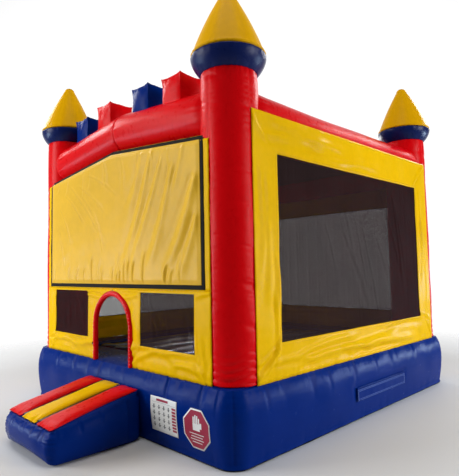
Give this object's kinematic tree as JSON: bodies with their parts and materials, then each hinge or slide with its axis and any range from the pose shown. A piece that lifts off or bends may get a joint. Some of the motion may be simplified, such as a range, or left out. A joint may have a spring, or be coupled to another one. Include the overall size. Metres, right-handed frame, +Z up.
{
  "type": "inflatable bounce house",
  "caption": "Inflatable castle bounce house with corner towers, battlements, net windows, an arched doorway, a padded entrance step and a removable front banner.",
  "frame": {"origin": "centre of the base's underside, on the ground", "axes": "+Z up, -Y towards the entrance and its step, +X to the right of someone facing the entrance"},
  "size_m": [3.696, 5.563, 4],
  "materials": {
    "red_vinyl": "semi-gloss vinyl-coated fabric",
    "yellow_vinyl": "semi-gloss vinyl-coated fabric",
    "blue_vinyl": "semi-gloss vinyl-coated fabric",
    "black_vinyl": "matt vinyl-coated fabric",
    "dark_vinyl": "dark sun-cover sheet",
    "net": "knotless safety net",
    "banner_vinyl": "satin printed banner vinyl",
    "hook_and_loop": "hook-and-loop tape",
    "placard_white": "printed vinyl",
    "sign_red": "printed vinyl",
    "black_webbing": "woven polyester webbing",
    "zip_metal": "nickel-plated zip slider",
    "ring_steel": "zinc-plated steel"
  },
  "bodies": {
    "bounce_house": {"anchor_tabs": "black_webbing", "back_beam": "red_vinyl", "back_net": "net", "back_wall": "yellow_vinyl", "banner_frame": "hook_and_loop", "base_skirt": "blue_vinyl", "collar_back_left": "blue_vinyl", "collar_back_right": "blue_vinyl", "collar_front_left": "blue_vinyl", "collar_front_right": "blue_vinyl", "column_back_left": "red_vinyl", "column_back_right": "red_vinyl", "column_front_left": "red_vinyl", "column_front_right": "red_vinyl", "door_trim": "red_vinyl", "flap_header": "blue_vinyl", "floor_baffles": "black_vinyl", "front_beam": "red_vinyl", "front_net_left": "net", "front_net_right": "net", "front_wall_left": "yellow_vinyl", "front_wall_right": "yellow_vinyl", "front_wall_upper": "yellow_vinyl", "ground_sheet": "black_vinyl", "inlet_sleeve": "blue_vinyl", "jump_floor": "black_vinyl", "left_beam": "red_vinyl", "left_net": "net", "left_wall": "yellow_vinyl", "merlon_inner_left": "red_vinyl", "merlon_inner_right": "blue_vinyl", "merlon_outer_left": "blue_vinyl", "merlon_outer_right": "red_vinyl", "right_beam": "red_vinyl", "right_net": "net", "right_wall": "yellow_vinyl", "roof_cover": "dark_vinyl", "rules_placard": "placard_white", "sleeve_strap": "black_webbing", "spire_back_left": "yellow_vinyl", "spire_back_right": "yellow_vinyl", "spire_front_left": "yellow_vinyl", "spire_front_right": "yellow_vinyl", "step_body": "blue_vinyl", "step_pad_left": "red_vinyl", "step_pad_middle": "yellow_vinyl", "step_pad_right": "red_vinyl", "step_valley_strips": "black_vinyl", "stop_sign": "sign_red", "zip_tape": "black_webbing"},
    "art_banner": {"art_banner": "banner_vinyl"},
    "zip_flap": {"zip_flap": "blue_vinyl"},
    "zip_slider": {"zip_slider": "zip_metal"},
    "d_ring_left_front": {"d_ring_left_front": "ring_steel"},
    "d_ring_left_back": {"d_ring_left_back": "ring_steel"},
    "d_ring_back_left": {"d_ring_back_left": "ring_steel"},
    "d_ring_back_right": {"d_ring_back_right": "ring_steel"}
  },
  "joints": [
    {"name": "banner_pull_off", "type": "slide", "parent": "bounce_house", "child": "art_banner", "axis": [0, -1, 0], "range_m": [0, 0.4]},
    {"name": "zip_flap_lift", "type": "hinge", "parent": "bounce_house", "child": "zip_flap", "pos_m": [1.832, 0.24, 0.315], "axis": [0, -1, 0], "range_deg": [0, 120]},
    {"name": "zip_slide", "type": "slide", "parent": "bounce_house", "child": "zip_slider", "axis": [0, 1, 0], "range_m": [0, 0.92]},
    {"name": "d_ring_left_front_swing", "type": "hinge", "parent": "bounce_house", "child": "d_ring_left_front", "pos_m": [-1.829, -1.25, 0.23], "axis": [0, 1, 0], "range_deg": [0, 170]},
    {"name": "d_ring_left_back_swing", "type": "hinge", "parent": "bounce_house", "child": "d_ring_left_back", "pos_m": [-1.829, 1.25, 0.23], "axis": [0, 1, 0], "range_deg": [0, 170]},
    {"name": "d_ring_back_left_swing", "type": "hinge", "parent": "bounce_house", "child": "d_ring_back_left", "pos_m": [-1.4, 2.029, 0.23], "axis": [1, 0, 0], "range_deg": [0, 170]},
    {"name": "d_ring_back_right_swing", "type": "hinge", "parent": "bounce_house", "child": "d_ring_back_right", "pos_m": [1.4, 2.029, 0.23], "axis": [1, 0, 0], "range_deg": [0, 170]}
  ]
}
